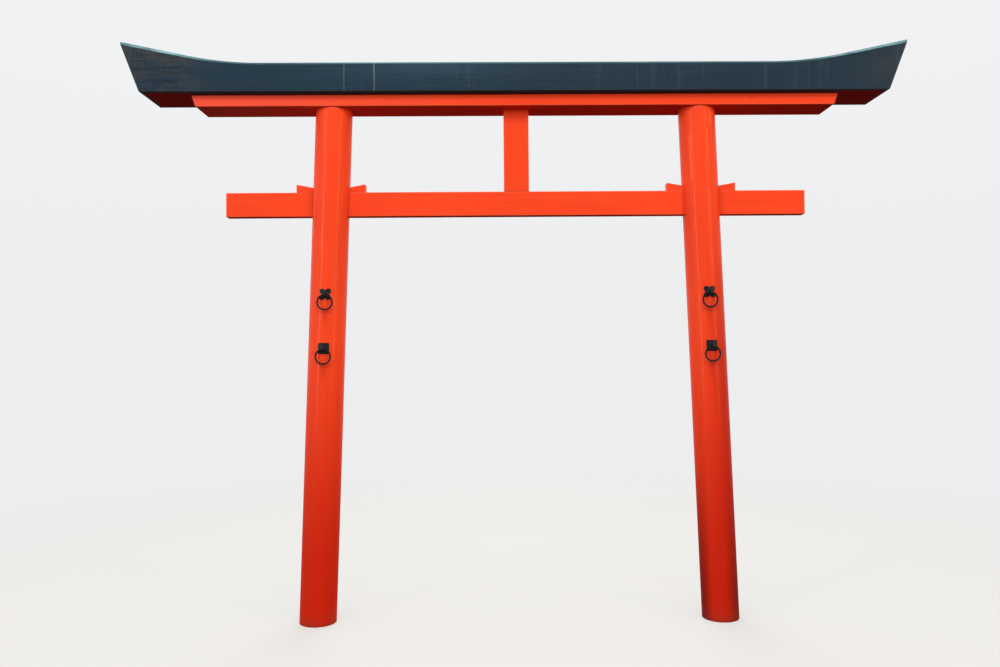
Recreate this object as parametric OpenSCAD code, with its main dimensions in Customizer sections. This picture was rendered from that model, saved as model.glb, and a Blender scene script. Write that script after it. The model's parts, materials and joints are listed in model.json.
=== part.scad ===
// Torii gate of painted timber: two leaning round pillars, a wedged tie beam through both,
// a short strut, a flat lower lintel and a swept upper lintel, with four iron rings in front.
// Millimetres, Z up. The front looks along -Y. The origin is the centre of the left pillar's foot.

/* [Pillars] */
// Distance between the pillar centres at the ground
pillar_spacing = 2000; // [1500:10:3000]
// Diameter of each round pillar
pillar_d = 182; // [150:1:240]
// Inward lean of each pillar, in degrees
pillar_lean = 2.05; // [0.5:0.05:4]
// Side of the square tenon on top of each pillar
pillar_tenon = 70; // [40:1:90]

/* [Tie beam] */
// Height of the tie beam's underside above the ground
tie_z = 2008; // [1900:1:2150]
// Height of the tie beam
tie_h = 121; // [90:1:160]
// Thickness of the tie beam, front to back
tie_t = 55; // [44:1:80]
// Whole length of the tie beam
tie_length = 2886; // [2500:10:3300]

/* [Wedges] */
// Length of each wedge that shows beside its pillar
wedge_out = 80; // [40:1:120]
// Height of a wedge where it enters the pillar
wedge_face_h = 25; // [22:1:32]
// Slope of a wedge's top, in degrees
wedge_angle = 10.6; // [5:0.2:13]
// Gap between the tips of the two wedges inside a pillar
wedge_tip_gap = 6; // [2:1:20]

/* [Centre strut] */
// Width of the centre strut
strut_w = 125; // [90:1:180]
// Setback of the strut's faces from those of the tie beam
strut_setback = 2; // [0.5:0.5:8]
// Width of the strut's tenons
strut_tenon_w = 60; // [30:1:80]
// Thickness of the strut's tenons
strut_tenon_t = 24; // [14:1:34]

/* [Lower lintel] */
// Height of the lower lintel's underside above the ground
lower_z = 2540; // [2450:1:2700]
// Height of the lower lintel
lower_h = 62; // [52:1:100]
// Depth of the lower lintel, front to back
lower_depth = 195; // [150:1:260]
// Length of the lower lintel at its underside
lower_length = 3142; // [2900:10:3500]
// Slant of the lower lintel's ends, in degrees from upright
lower_slant = 18.5; // [0:0.5:30]

/* [Upper lintel] */
// Height of the upper lintel's front face at mid-span
upper_h = 141; // [110:1:200]
// Depth of the upper lintel, front to back
upper_depth = 275; // [220:1:340]
// Length of the upper lintel at its underside
upper_length = 3660; // [3560:10:3900]
// Slant of the upper lintel's ends, in degrees from upright
upper_slant = 21; // [0:0.5:30]
// Distance from mid-span to where the top begins to sweep up
sweep_start = 1250; // [900:10:1400]
// Radius of the upward sweep of the top
sweep_radius = 1700; // [600:10:2600]
// Slope of the top past the sweep, in degrees
sweep_angle = 12; // [4:0.5:14]
// Pitch of the top towards the front and the back, in degrees
roof_pitch = 10; // [3:0.5:16]
// Width of the chamfer along the top's front and back arrises
top_chamfer = 9; // [3:0.5:15]

/* [Ring fittings] */
// Height of the upper rings' pins above the ground
upper_ring_z = 1614; // [1500:1:1750]
// Height of the lower rings' pins above the ground
lower_ring_z = 1349; // [1200:1:1450]
// Diameter of a ring at the middle of its bar
ring_d = 72; // [50:1:90]
// Diameter of the ring's bar
ring_bar = 9; // [6:0.5:12]
// Diameter of the eye's bar
eye_bar = 7; // [5:0.5:10]
// Clearance between the ring's bar and its eye
eye_clearance = 0.5; // [0.3:0.1:0.9]
// Distance from the back plate to the eye
eye_standoff = 0.5; // [0.2:0.1:0.8]
// Diameter of the eye's shank
shank_d = 8; // [5:0.5:10]
// Depth of the eye's shank in the pillar
shank_depth = 45; // [20:1:70]
// Width and height of a back plate
plate_size = 54; // [40:1:66]
// Thickness of a back plate
plate_t = 3; // [1.5:0.5:5]
// Height of a back plate's centre above the ring's pin
plate_lift = 4.5; // [0:0.5:10]
// Depth of the notch in the middle of each side of an upper back plate
plate_notch = 9; // [3:0.5:14]
// Corner cut of a lower back plate
plate_corner = 5; // [1:0.5:12]

/* [Fits] */
// Clearance round tenons, shanks and the tie beam in their mortises
joint_gap = 0.3; // [0.1:0.05:0.6]
// Length of the stub tenons
tenon_length = 40; // [20:1:48]
// Chamfer along the arrises of the beams
arris = 3; // [1:0.5:6]

/* [Hidden] */
$fn = 96;

vermilion = [0.90, 0.16, 0.06];
lintel_black = [0.15, 0.18, 0.22];
iron_black = [0.08, 0.08, 0.09];

left = 1;
right = -1;
middle_x = pillar_spacing / 2;
pillar_r = pillar_d / 2;
tie_top = tie_z + tie_h;
upper_z = lower_z + lower_h;
mortise_end_gap = 1;
overcut = 60;

// A lean to the left stands at x = 0 and leans towards +X, one to the right stands at the spacing
function foot_x(side) = side == left ? 0 : pillar_spacing;
function axis_x(side, z) = foot_x(side) + side * z * tan(pillar_lean);

// Wedges: thickness, distance from the pillar's axis to its face, and height at a distance from the axis
wedge_t = tie_t - 2 * arris;
wedge_entry = pillar_r / cos(pillar_lean);
function wedge_h(x) = wedge_face_h + (x - wedge_entry) * tan(wedge_angle);

// Upper lintel: bounds of its height and reach at the tips, which the slanted ends then trim
tip_h = upper_h + (upper_length / 2 - sweep_start + upper_h) * tan(sweep_angle)
    + upper_depth * tan(roof_pitch);
tip_reach = upper_length / 2 + tip_h * tan(upper_slant);
cut_h = tip_h - upper_h + overcut;

// The bend's cut runs on past its ends by an angle, and lies lower by a hair than the faces it joins
bend_margin = 3;
bend_sink = 0.02;

eye_r = ring_bar / 2 + eye_clearance + eye_bar / 2;
plate_front = pillar_r + joint_gap + plate_t;
pin_y = -(plate_front + eye_standoff + eye_r + eye_bar / 2);
ring_r = ring_d / 2;

// A beam's section with chamfered arrises: depth along the first axis, height along the second
module beam_section(depth, height) {
    half = depth / 2;
    polygon([
        [-half + arris, 0], [half - arris, 0], [half, arris], [half, height - arris],
        [half - arris, height], [-half + arris, height], [-half, height - arris], [-half, arris]
    ]);
}

// Stands a section that is drawn as depth and height upright and runs it along +X
module run_along_x(length) {
    rotate([90, 0, 90])
        linear_extrude(height = length)
            children();
}

// Draws a front view outline, x and height, and gives it a thickness centred on y = 0
module front_view(thickness) {
    translate([0, thickness / 2, 0])
        rotate([90, 0, 0])
            linear_extrude(height = thickness)
                children();
}

module slanted_ends(length, slant, height) {
    half = length / 2;
    reach = half + height * tan(slant);
    polygon([[-half, 0], [half, 0], [reach, height], [-reach, height]]);
}

module square_tenon(width, thickness, length, gap) {
    translate([-width / 2 - gap, -thickness / 2 - gap, 0])
        cube([width + 2 * gap, thickness + 2 * gap, length]);
}

// A round bar that leans with a pillar, cut level at two heights
module leaning_round(side, radius, low, high) {
    intersection() {
        translate([foot_x(side), 0, 0])
            rotate([0, side * pillar_lean, 0])
                translate([0, 0, low - overcut])
                    cylinder(r = radius, h = high - low + 3 * overcut);
        translate([axis_x(side, low) - middle_x, -middle_x, low])
            cube([2 * middle_x, 2 * middle_x, high - low]);
    }
}

// The wedge slot over the tie beam: two wedges' profiles that meet inside the pillar
module wedge_slot_profile() {
    reach = wedge_entry + overcut;
    polygon([[-reach, 0], [reach, 0], [reach, wedge_h(reach)], [0, wedge_h(0)], [-reach, wedge_h(reach)]]);
}

module tie_mortise(side) {
    width = tie_t + 2 * joint_gap;
    translate([axis_x(side, tie_top), 0, 0]) {
        translate([-wedge_entry - overcut, -width / 2, tie_z])
            cube([2 * (wedge_entry + overcut), width, tie_h]);
        translate([0, 0, tie_top])
            front_view(wedge_t + 2 * joint_gap)
                wedge_slot_profile();
    }
}

module shank_bore(side, z) {
    translate([axis_x(side, z), 0, z])
        rotate([90, 0, 0])
            translate([0, 0, pillar_r - shank_depth - mortise_end_gap])
                cylinder(d = shank_d + 2 * joint_gap, h = shank_depth + mortise_end_gap + overcut);
}

module pillar(side) {
    color(vermilion)
        difference() {
            union() {
                leaning_round(side, pillar_r, 0, lower_z);
                translate([axis_x(side, lower_z), 0, lower_z])
                    square_tenon(pillar_tenon, pillar_tenon, tenon_length, 0);
            }
            tie_mortise(side);
            shank_bore(side, upper_ring_z);
            shank_bore(side, lower_ring_z);
        }
}

module tie_beam() {
    color(vermilion)
        difference() {
            translate([middle_x - tie_length / 2, 0, tie_z])
                run_along_x(tie_length)
                    beam_section(tie_t, tie_h);
            translate([middle_x, 0, tie_top - tenon_length - mortise_end_gap])
                square_tenon(strut_tenon_w, strut_tenon_t, tenon_length + mortise_end_gap + overcut, joint_gap);
        }
}

// One wedge on the given side of a pillar's axis: 1 points to +X, -1 to -X
module wedge(side, way) {
    tip = wedge_tip_gap / 2;
    end = wedge_entry + wedge_out;
    color(vermilion)
        translate([axis_x(side, tie_top), 0, tie_top])
            front_view(wedge_t)
                polygon([
                    [way * tip, 0], [way * end, 0], [way * end, wedge_h(end)], [way * tip, wedge_h(tip)]
                ]);
}

module centre_strut() {
    depth = tie_t - 2 * strut_setback;
    color(vermilion)
        translate([middle_x, 0, 0]) {
            translate([0, 0, tie_top])
                linear_extrude(height = lower_z - tie_top)
                    translate([0, -depth / 2])
                        beam_section(strut_w, depth);
            translate([0, 0, tie_top - tenon_length])
                square_tenon(strut_tenon_w, strut_tenon_t, lower_z - tie_top + 2 * tenon_length, 0);
        }
}

module lower_lintel() {
    longest = lower_length + 2 * lower_h * tan(lower_slant);
    socket = tenon_length + mortise_end_gap;
    color(vermilion)
        translate([0, 0, lower_z])
            difference() {
                translate([middle_x, 0, 0])
                    intersection() {
                        translate([-longest / 2, 0, 0])
                            run_along_x(longest)
                                beam_section(lower_depth, lower_h);
                        front_view(lower_depth + overcut)
                            slanted_ends(lower_length, lower_slant, lower_h);
                    }
                for (side = [left, right])
                    translate([axis_x(side, lower_z), 0, -overcut])
                        square_tenon(pillar_tenon, pillar_tenon, socket + overcut, joint_gap);
                translate([middle_x, 0, -overcut])
                    square_tenon(strut_tenon_w, strut_tenon_t, socket + overcut, joint_gap);
            }
}

// What is cut away over the upper lintel, as depth and height from its top arris line
module above_roof() {
    half = upper_depth / 2;
    ridge = half * tan(roof_pitch);
    shoulder = top_chamfer * tan(roof_pitch);
    reach = half + overcut;
    low = -top_chamfer - overcut * (top_chamfer + shoulder) / top_chamfer;
    polygon([
        [-reach, low], [-half + top_chamfer, shoulder], [0, ridge],
        [half - top_chamfer, shoulder], [reach, low], [reach, cut_h], [-reach, cut_h]
    ]);
}

// Shapes the top from where it begins to sweep up: a bend about a line above it, then a straight slope
module above_sweep() {
    translate([sweep_start, 0, sweep_radius])
        rotate([90, 0, 0])
            rotate([0, 0, -90 - bend_margin])
                rotate_extrude(angle = sweep_angle + 2 * bend_margin, $fn = 360)
                    translate([sweep_radius + bend_sink, 0])
                        mirror([1, 0])
                            rotate(-90)
                                above_roof();
    translate([sweep_start, 0, sweep_radius])
        rotate([0, -sweep_angle, 0])
            translate([0, 0, -sweep_radius])
                run_along_x(tip_reach)
                    above_roof();
}

module upper_lintel() {
    half = upper_depth / 2;
    color(lintel_black)
        translate([middle_x, 0, upper_z])
            difference() {
                intersection() {
                    translate([-tip_reach, 0, 0])
                        run_along_x(2 * tip_reach)
                            polygon([
                                [-half + arris, 0], [half - arris, 0], [half, arris],
                                [half, tip_h], [-half, tip_h], [-half, arris]
                            ]);
                    front_view(upper_depth + overcut)
                        slanted_ends(upper_length, upper_slant, tip_h);
                }
                translate([0, 0, upper_h]) {
                    translate([-sweep_start, 0, 0])
                        run_along_x(2 * sweep_start)
                            above_roof();
                    above_sweep();
                    mirror([1, 0, 0])
                        above_sweep();
                }
            }
}

module plain_plate() {
    half = plate_size / 2;
    cut = half - plate_corner;
    polygon([
        [-cut, -half], [cut, -half], [half, -cut], [half, cut],
        [cut, half], [-cut, half], [-half, cut], [-half, -cut]
    ]);
}

// A square plate with a pointed notch in the middle of each side
module notched_plate() {
    half = plate_size / 2;
    difference() {
        plain_plate();
        for (turn = [0:90:270])
            rotate(turn)
                polygon([[-plate_notch, half + 1], [plate_notch, half + 1], [0, half - plate_notch]]);
    }
}

module back_plate(side, z, notched) {
    color(iron_black)
        difference() {
            intersection() {
                difference() {
                    leaning_round(side, pillar_r + joint_gap + plate_t, z - plate_size, z + plate_size);
                    leaning_round(side, pillar_r + joint_gap, z - 2 * plate_size, z + 2 * plate_size);
                }
                translate([axis_x(side, z), -pillar_r, z + plate_lift])
                    front_view(pillar_r)
                        if (notched)
                            notched_plate();
                        else
                            plain_plate();
            }
            shank_bore(side, z);
        }
}

module eye(side, z) {
    color(iron_black)
        translate([axis_x(side, z), pin_y, z]) {
            rotate([0, 90, 0])
                rotate_extrude()
                    translate([eye_r, 0])
                        circle(d = eye_bar, $fn = 32);
            rotate([-90, 0, 0])
                translate([0, 0, eye_r])
                    cylinder(d = shank_d, h = shank_depth - pin_y - pillar_r - eye_r);
        }
}

module ring(side, z) {
    color(iron_black)
        translate([axis_x(side, z), pin_y, z - ring_r])
            rotate([90, 0, 0])
                rotate_extrude($fn = 128)
                    translate([ring_r, 0])
                        circle(d = ring_bar, $fn = 32);
}

pillar(left);  // left_pillar
pillar(right);  // right_pillar
tie_beam();
wedge(left, -1);  // left_outer_wedge
wedge(left, 1);  // left_inner_wedge
wedge(right, -1);  // right_inner_wedge
wedge(right, 1);  // right_outer_wedge
centre_strut();
lower_lintel();
upper_lintel();
back_plate(left, upper_ring_z, true);  // left_upper_plate
eye(left, upper_ring_z);  // left_upper_eye
ring(left, upper_ring_z);  // left_upper_ring
back_plate(left, lower_ring_z, false);  // left_lower_plate
eye(left, lower_ring_z);  // left_lower_eye
ring(left, lower_ring_z);  // left_lower_ring
back_plate(right, upper_ring_z, true);  // right_upper_plate
eye(right, upper_ring_z);  // right_upper_eye
ring(right, upper_ring_z);  // right_upper_ring
back_plate(right, lower_ring_z, false);  // right_lower_plate
eye(right, lower_ring_z);  // right_lower_eye
ring(right, lower_ring_z);  // right_lower_ring
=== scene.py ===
"""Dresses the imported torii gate: shaped and painted timbers, forged ring fittings, floor, light and camera.

The file is laid out as an add-on and run as a script. Lengths are in metres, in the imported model's frame:
the origin is the centre of the left pillar's foot, +X runs to the right pillar and the front looks along -Y.
"""

import json
import math

import bmesh
import bpy
from bpy.props import FloatProperty, FloatVectorProperty, IntProperty, PointerProperty
from mathutils import Matrix, Vector, noise


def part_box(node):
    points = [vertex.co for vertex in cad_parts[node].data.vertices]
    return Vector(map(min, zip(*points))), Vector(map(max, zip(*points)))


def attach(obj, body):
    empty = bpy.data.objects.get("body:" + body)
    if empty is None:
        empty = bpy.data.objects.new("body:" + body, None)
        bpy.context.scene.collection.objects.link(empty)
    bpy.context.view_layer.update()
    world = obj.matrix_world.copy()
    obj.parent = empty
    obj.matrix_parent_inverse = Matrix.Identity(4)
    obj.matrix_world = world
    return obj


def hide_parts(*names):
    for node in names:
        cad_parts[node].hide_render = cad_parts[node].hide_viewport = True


bl_info = {
    "name": "Torii gate",
    "version": (1, 0, 0),
    "blender": (4, 5, 0),
    "location": "3D View > Sidebar > Torii",
    "description": "Makes the painted timbers and the ring fittings of a torii gate",
    "category": "Add Mesh",
}

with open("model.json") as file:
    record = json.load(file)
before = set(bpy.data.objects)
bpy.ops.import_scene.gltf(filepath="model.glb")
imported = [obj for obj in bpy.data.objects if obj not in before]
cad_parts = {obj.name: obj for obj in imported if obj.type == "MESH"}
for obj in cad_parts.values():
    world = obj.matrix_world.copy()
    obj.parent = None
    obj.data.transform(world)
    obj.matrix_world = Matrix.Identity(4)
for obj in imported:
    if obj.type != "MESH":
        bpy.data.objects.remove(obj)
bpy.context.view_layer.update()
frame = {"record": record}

# Each side, and the way along X that its pillar leans
SIDES = {"left": 1, "right": -1}
LEVELS = ("upper", "lower")
FITTINGS = [(side, level) for side in SIDES for level in LEVELS]
ALONG_X, UPRIGHT = 0, 2

GATE = "gate"
TIMBER_SLOT = "vermilion_timber"
BLACK_SLOT = "black_timber"
IRON_SLOT = "black_iron"


def box_middle(node):
    """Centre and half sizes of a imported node's box."""
    low, high = (Vector(corner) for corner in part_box(node))
    return (low + high) / 2, (high - low) / 2


TIE_MIDDLE, TIE_HALF = box_middle("tie_beam")
STRUT_MIDDLE, STRUT_HALF = box_middle("centre_strut")
LOWER_MIDDLE, LOWER_HALF = box_middle("lower_lintel")
UPPER_MIDDLE, UPPER_HALF = box_middle("upper_lintel")
TIE_TOP = TIE_MIDDLE.z + TIE_HALF.z
LOWER_Z = LOWER_MIDDLE.z - LOWER_HALF.z
UPPER_Z = UPPER_MIDDLE.z - UPPER_HALF.z
MID_X = UPPER_MIDDLE.x
PIN_OF = {joint["child"]: Vector(joint["pos_m"]) for joint in frame["record"]["behaviour"]["joints"]}


def metres(name, description, default, **limits):
    """A property for a length."""
    return FloatProperty(name=name, description=description, default=default, unit="LENGTH", **limits)


def degrees(name, description, default):
    """A property for an angle, with its default in degrees."""
    default = math.radians(default)
    return FloatProperty(name=name, description=description, default=default, subtype="ANGLE")


def tint(name, description, default):
    """A property for a colour."""
    return FloatVectorProperty(
        name=name, description=description, default=default, subtype="COLOR", size=3, min=0.0, max=1.0
    )


class TimberSizes(bpy.types.PropertyGroup):
    """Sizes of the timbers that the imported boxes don't give"""

    pillar_radius: metres("Pillar radius", "Radius of each round pillar", 0.091, min=0.05)
    pillar_lean: degrees("Pillar lean", "Inward lean of each pillar", 2.05)
    wedge_slope: degrees("Wedge slope", "Slope of the wedges' tops", 10.6)
    arris: metres("Arris radius", "Rounding along the beams' edges", 0.004, min=0.001)
    waviness: metres("Waviness", "Depth of the planing marks in the timber", 0.0005, min=0.0)
    lower_length: metres("Lower lintel length", "Length of the lower lintel at its underside", 3.142)
    upper_length: metres("Upper lintel length", "Length of the upper lintel at its underside", 3.66)
    upper_height: metres("Upper lintel height", "Height of the upper lintel's front face at mid-span", 0.141)
    upper_slant: degrees("End slant", "Slant of the upper lintel's ends", 21.0)
    sweep_start: metres("Sweep start", "Distance from mid-span to the upward sweep", 1.25)
    sweep_radius: metres("Sweep radius", "Radius of the upward sweep", 1.7)
    sweep_angle: degrees("Sweep angle", "Slope of the top past the sweep", 12.0)
    roof_pitch: degrees("Top pitch", "Pitch of the top to the front and the back", 10.0)
    top_chamfer: metres("Top chamfer", "Width of the chamfer on the top's front and back edges", 0.009)
    sections: IntProperty(name="Sections", description="Sections along each beam", default=90, min=8)


class FittingSizes(bpy.types.PropertyGroup):
    """Sizes of the ring fittings"""

    ring_radius: metres("Ring radius", "Radius of a ring at the middle of its bar", 0.036)
    ring_bar: metres("Ring bar", "Radius of the ring's bar", 0.0045)
    eye_radius: metres("Eye radius", "Radius of an eye at the middle of its bar", 0.0085)
    eye_bar: metres("Eye bar", "Radius of the eye's bar", 0.0035)
    plate_size: metres("Plate size", "Width and height of a back plate", 0.054)
    plate_thickness: metres("Plate thickness", "Thickness of a back plate", 0.003)
    plate_lift: metres("Plate lift", "Height of a back plate's centre above the pin", 0.0045)
    notch: metres("Notch", "Depth of the notches in an upper plate", 0.009)
    corner: metres("Corner cut", "Cut across the corners of a plate", 0.005)
    boss: metres("Boss", "Height of the dome in the middle of a plate", 0.002)


class Finishes(bpy.types.PropertyGroup):
    """Colours of the paints and the floor"""

    vermilion: tint("Vermilion", "The gloss paint on the timbers", (0.97, 0.070, 0.017))
    # Deep vermilion also paints the shade under the timbers and towards the ground
    vermilion_deep: tint("Deep vermilion", "The same paint where it is thick or soiled", (0.60, 0.016, 0.003))
    # Pale vermilion also paints the highlights along the beams' arrises
    vermilion_pale: tint("Rubbed vermilion", "The same paint rubbed thin on the edges", (0.97, 0.15, 0.060))
    bare_wood: tint("Bare wood", "The timber where the paint has chipped off an edge", (0.30, 0.13, 0.065))
    lintel_black: tint("Lintel black", "The blue-black paint of the upper lintel", (0.008, 0.029, 0.056))
    weathered: tint("Weathered black", "The black paint where the weather has greyed it", (0.070, 0.062, 0.052))
    iron: tint("Iron", "The black of the iron fittings", (0.004, 0.006, 0.010))
    floor: tint("Floor", "The floor as it is seen", (0.80, 0.80, 0.79))
    floor_bounce: FloatProperty(
        name="Floor bounce", description="How much light the floor throws up on the gate", default=0.05,
        min=0.0, max=1.0, subtype="FACTOR",
    )


class StageSizes(bpy.types.PropertyGroup):
    """The camera and the lamps"""

    camera_place: FloatVectorProperty(
        name="Camera", description="Where the camera stands", subtype="XYZ", size=3,
        default=(0.8554, -4.2441, 1.3378), unit="LENGTH",
    )
    camera_turn: FloatVectorProperty(
        name="Camera turn", description="Turn to the right, tilt upwards and roll", size=3,
        default=(0.0133, 0.0197, -0.0080), subtype="EULER",
    )
    focal_length: FloatProperty(
        name="Focal length", description="On a sensor 36 mm wide", default=30.57, min=1.0,
        subtype="DISTANCE_CAMERA",
    )
    key_power: FloatProperty(
        name="Key light", description="Power that the lamps share out", default=400.0, min=0.0, unit="POWER"
    )
    sky_strength: FloatProperty(
        name="Sky", description="Strength of the light from all round", default=0.62, min=0.0
    )
    side_glow: FloatProperty(
        name="Side glow", description="Strength of the soft light from both sides of the front", default=1.35,
        min=0.0,
    )
    left_tint: tint("Left tint", "Colour of the soft light from the left", (1.0, 0.90, 0.76))
    right_tint: tint("Right tint", "Colour of the soft light from the right", (1.0, 0.88, 0.48))


# Colours of wear and dirt, and of painted shade, painted shadows, painted highlights and painted reflections,
# by finish
VERMILION_WEAR_AND_LIGHT = {
    # Painted light in this table: the pale left-end colour is a painted reflection, the joint colour is partly
    # painted shade, the overhang, shaded and flank colours are painted shade, and the pale-line colour is a
    # painted highlight
    "faded": (0.90, 0.115, 0.085), "joint_line_and_shade": (0.22, 0.012, 0.006), "painted_shade": (0.016, 0.003, 0.003),
    "shaded": (0.47, 0.011, 0.002), "flank_shadow": (0.085, 0.003, 0.002), "splash": (0.16, 0.055, 0.035),
    "stain": (0.40, 0.020, 0.010), "streak": (1.0, 0.30, 0.09), "speck": (0.40, 0.03, 0.02),
    "dust": (0.55, 0.42, 0.36),
}
LINTEL_WEAR_AND_LIGHT = {
    # Painted light in this table: the sheen and both chamfer colours are painted highlights and reflections,
    # and the reds beneath are darkened as painted shade
    "sheen": (0.025, 0.064, 0.110), "grain": (0.007, 0.015, 0.024), "ends": (0.030, 0.034, 0.038),
    "rain": (0.20, 0.26, 0.30), "split": (0.004, 0.005, 0.006), "chamfer_reflection": (0.055, 0.175, 0.215),
    "chamfer_reflection_tip": (0.26, 0.50, 0.60), "streak": (0.40, 0.48, 0.52), "dust": (0.15, 0.16, 0.16),
    "lichen": (0.22, 0.25, 0.20), "furrow": (0.010, 0.014, 0.018), "grey_grain": (0.09, 0.085, 0.08),
    "arris": (0.06, 0.085, 0.10), "underside": (0.30, 0.006, 0.003), "dark_underside": (0.20, 0.004, 0.002),
}
# Painted light in this table: the dark band colour under each eye is painted shade
IRON_WEAR_AND_SHADE = {"bright": (0.010, 0.015, 0.024), "rust": (0.10, 0.040, 0.018), "painted_shade": (0.002, 0.002, 0.003)}

# How far the painted shade darkens a pillar's left and right flank near the ground
FLANK_SHADE = {"left": (0.05, 0.03), "right": (0.75, 0.85)}
# From a ring's pin down to where the stain under the ring starts
STAIN_DROP = Vector((0.0, 0.0, 0.078))
# Painted highlights, pale lines that stand for reflections up a pillar's front: (offset from the heart, low,
# high, width, weight)
PAINTED_HIGHLIGHTS = {
    "left": ((-0.073, 1.90, 2.16, 0.0040, 0.85),),
    "right": ((-0.057, 2.16, 2.41, 0.0045, 0.40), (0.050, 2.43, 2.53, 0.0100, 0.35)),
}
# Rain marks down the upper lintel's front: (place, width, weight)
RAIN_MARKS = ((0.164, 0.0050, 0.17), (0.309, 0.0056, 0.30))


def adding(operation):
    """A method of Wire that adds one Math node."""
    return lambda wire, *others: wire.recipe.maths(operation, wire, *others)


def both_ways(operation):
    """One of Python's operators as a Math node, and its reflected form."""
    return adding(operation), lambda wire, other: wire.recipe.maths(operation, other, wire)


class Wire:
    """A value in a node tree. Python's operators on it add Math nodes."""

    __add__, __radd__ = both_ways("ADD")
    __sub__, __rsub__ = both_ways("SUBTRACT")
    __mul__, __rmul__ = both_ways("MULTIPLY")
    __truediv__, __rtruediv__ = both_ways("DIVIDE")
    __abs__, sqrt, sine = adding("ABSOLUTE"), adding("SQRT"), adding("SINE")
    least, most = adding("MINIMUM"), adding("MAXIMUM")

    def __init__(self, recipe, socket):
        self.recipe = recipe
        self.socket = socket

    def ramp(self, low, high):
        """0 below low, 1 above high and smooth between; low may be the greater one, which turns it round."""
        turned = low > high
        if turned:
            low, high = high, low
        return self.recipe.node(
            "ShaderNodeMapRange", {"interpolation_type": "SMOOTHSTEP"},
            {"Value": self, "From Min": low, "From Max": high, "To Min": 1.0 * turned, "To Max": 1.0 - turned},
        )

    def beside(self, output):
        """Another output of the same node."""
        return Wire(self.recipe, self.socket.node.outputs[output])


class Recipe:
    """Builds one node tree. node() adds any node from its type, its settings and its sockets' values."""

    def __init__(self, tree):
        self.tree = tree

    def wire(self, value, socket):
        """Links a wire to a socket, or sets the socket to a plain value."""
        if isinstance(value, Wire):
            self.tree.links.new(value.socket, socket)
        elif socket.type == "RGBA":
            socket.default_value = (*value, 1.0)
        else:
            socket.default_value = value

    def node(self, kind, settings=None, sockets=None, output=0):
        added = self.tree.nodes.new(kind)
        for setting, value in (settings or {}).items():
            setattr(added, setting, value)
        for key, value in (sockets or {}).items():
            self.wire(value, added.inputs[key])
        return Wire(self, added.outputs[output]) if added.outputs else None

    def maths(self, operation, *values):
        return self.node("ShaderNodeMath", {"operation": operation}, dict(enumerate(values)))

    def vector_maths(self, operation, sockets):
        return self.node("ShaderNodeVectorMath", {"operation": operation}, sockets)

    def split(self, vector):
        """The three numbers of a vector."""
        first = self.node("ShaderNodeSeparateXYZ", None, {0: vector})
        return first, first.beside(1), first.beside(2)

    def join(self, x, y, z):
        return self.node("ShaderNodeCombineXYZ", None, {0: x, 1: y, 2: z})

    def blend(self, factor, first, second):
        """From the first colour to the second one. A Mix node keeps its colours in sockets 6 and 7."""
        settings = {"data_type": "RGBA", "clamp_factor": True}
        return self.node("ShaderNodeMix", settings, {0: factor, 6: first, 7: second}, 2)

    def plainly_seen(self):
        """1 for the camera's rays and for those that gloss or glass sends on, 0 for the light's own."""
        camera = self.node("ShaderNodeLightPath", output="Is Camera Ray")
        return camera.most(camera.beside("Is Glossy Ray")).most(camera.beside("Is Transmission Ray"))


class Finish(Recipe):
    """A material: a Principled shader, and a colour that paint() builds up layer by layer."""

    def __init__(self, name, colour=None, wear_and_light=None, **constants):
        self.material = bpy.data.materials.new(name)
        self.material.use_nodes = True
        super().__init__(self.material.node_tree)
        self.tree.nodes.clear()
        shader = self.node("ShaderNodeBsdfPrincipled")
        self.node("ShaderNodeOutputMaterial", None, {"Surface": shader})
        self.inputs = shader.socket.node.inputs
        self.feed(**constants)
        self.colour = colour
        self.wear_and_light = wear_and_light
        self.place = self.node("ShaderNodeTexCoord", output="Object")
        self.spot = self.x, self.y, self.z = self.split(self.place)
        self.facing = self.split(self.node("ShaderNodeNewGeometry", output="Normal"))
        self.up = self.facing[2]

    def feed(self, **values):
        """Sets or links the shader's sockets, whose names' spaces are written as underscores."""
        for socket, value in values.items():
            self.wire(value, self.inputs[socket.replace("_", " ")])
        return self.material

    def paint(self, factor, colour):
        """Lays a colour, or one named in its table of marks and painted light, over what is there, as far as
        the factor says.
        """
        self.colour = self.blend(factor, self.colour, self.wear_and_light[colour] if isinstance(colour, str) else colour)

    def stretched(self, scale, offset=(0.0, 0.0, 0.0)):
        """Object coordinates multiplied by one scale, or by a scale along each axis."""
        scale = scale if isinstance(scale, tuple) else (scale,) * 3
        return self.node("ShaderNodeMapping", None, {"Vector": self.place, "Scale": scale, "Location": offset})

    def noise(self, scale, detail=2.0, roughness=0.5, offset=(0.0, 0.0, 0.0), distortion=0.0):
        """Noise with a feature size of 1 / scale metres."""
        sockets = {
            "Vector": self.stretched(scale, offset), "Scale": 1.0, "Detail": detail, "Roughness": roughness,
            "Distortion": distortion,
        }
        return self.node("ShaderNodeTexNoise", {"noise_dimensions": "3D"}, sockets, "Fac")

    def end_grain(self, axis, pith, spacing=0.0055):
        """Growth rings round a pith line, on the faces that cut across the grain only."""
        a, b = (self.spot[i] - pith[i] for i in range(3) if i != axis)
        wobble = self.noise(26.0) * 1.6
        rings = (((a * a + b * b).sqrt() / spacing + wobble) * math.tau).sine() * 0.5 + 0.5
        return rings * abs(self.facing[axis]).ramp(0.8, 0.95)

    def bump(self, *layers):
        """Normal from layers of (height, distance in metres)."""
        normal = None
        for height, distance in layers:
            sockets = {"Height": height, "Distance": distance, "Strength": 1.0}
            if normal:
                sockets["Normal"] = normal
            normal = self.node("ShaderNodeBump", None, sockets)
        return normal


def along(axis, slow, fast):
    """Scales for a pattern that runs along an axis: slow changes along it, fast ones across."""
    return tuple(slow if i == axis else fast for i in range(3))


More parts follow.
